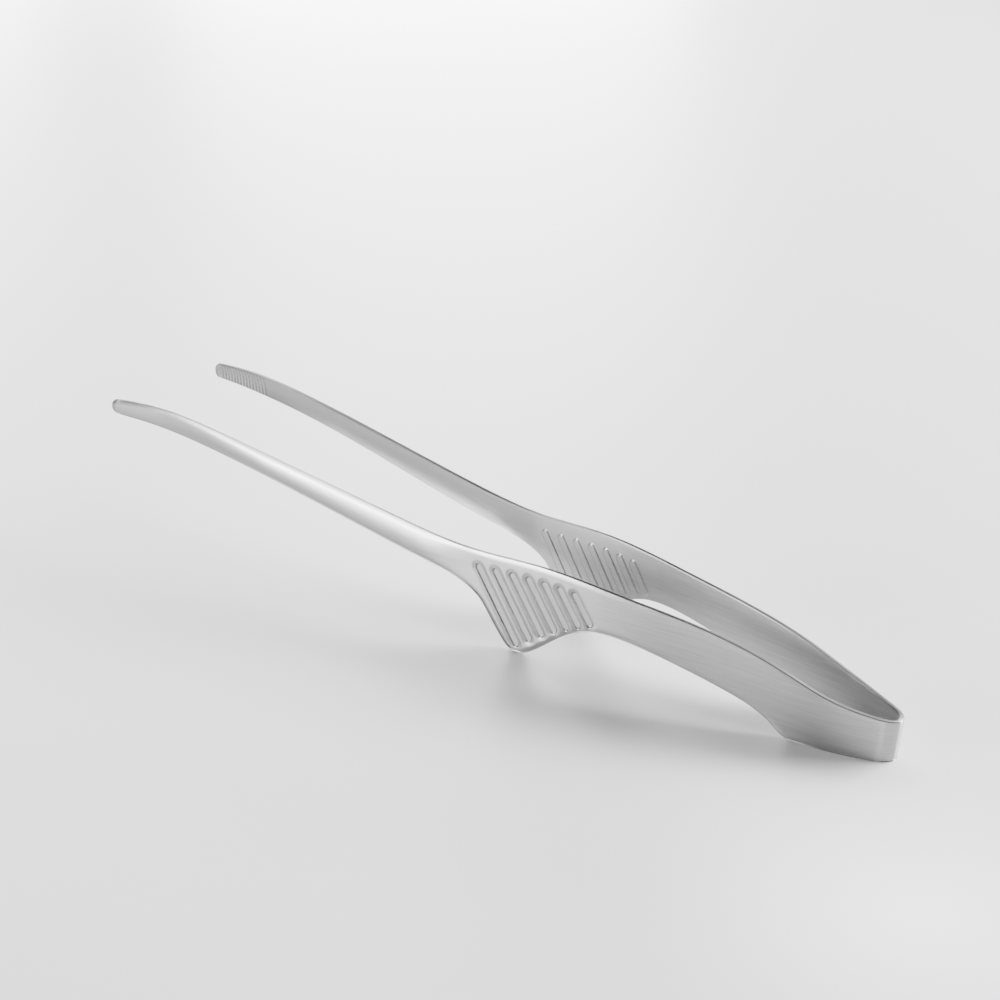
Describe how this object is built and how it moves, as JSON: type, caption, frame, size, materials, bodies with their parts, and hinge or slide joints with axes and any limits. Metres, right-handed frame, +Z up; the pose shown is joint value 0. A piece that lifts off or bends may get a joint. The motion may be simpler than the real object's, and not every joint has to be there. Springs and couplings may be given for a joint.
{
  "type": "one-piece spring tongs",
  "caption": "Slim one-piece sheet-steel spring tongs with a folded heel, ribbed finger pads that stand on the table, channel legs and toothed jaw tips.",
  "frame": {"origin": "centre of the overall box at the level of the table the tongs stand on", "axes": "+X from the jaw tips to the folded heel, +Y from the near arm to the far arm, +Z up"},
  "size_m": [0.24, 0.0402, 0.037],
  "materials": {
    "brushed_stainless": "fine brushed, satin"
  },
  "bodies": {
    "bow": {"heel_bow": "brushed_stainless"},
    "near_arm": {"near_handle": "brushed_stainless", "near_grip": "brushed_stainless", "near_leg": "brushed_stainless", "near_jaw": "brushed_stainless"},
    "far_arm": {"far_handle": "brushed_stainless", "far_grip": "brushed_stainless", "far_leg": "brushed_stainless", "far_jaw": "brushed_stainless"}
  },
  "joints": [
    {"name": "near_arm_flex", "type": "hinge", "parent": "bow", "child": "near_arm", "pos_m": [0.0813, -0.00802, 0.013], "axis": [-0.0993, 0, -0.9951], "range_deg": [-3, 5.1], "stiffness_Nm_per_rad": 4.9},
    {"name": "far_arm_flex", "type": "hinge", "parent": "bow", "child": "far_arm", "pos_m": [0.0813, 0.00802, 0.013], "axis": [0.0993, 0, 0.9951], "range_deg": [-3, 5.1], "stiffness_Nm_per_rad": 4.9}
  ],
  "couplings": [
    {"joint": "far_arm_flex", "follows": "near_arm_flex", "ratio": 1}
  ]
}
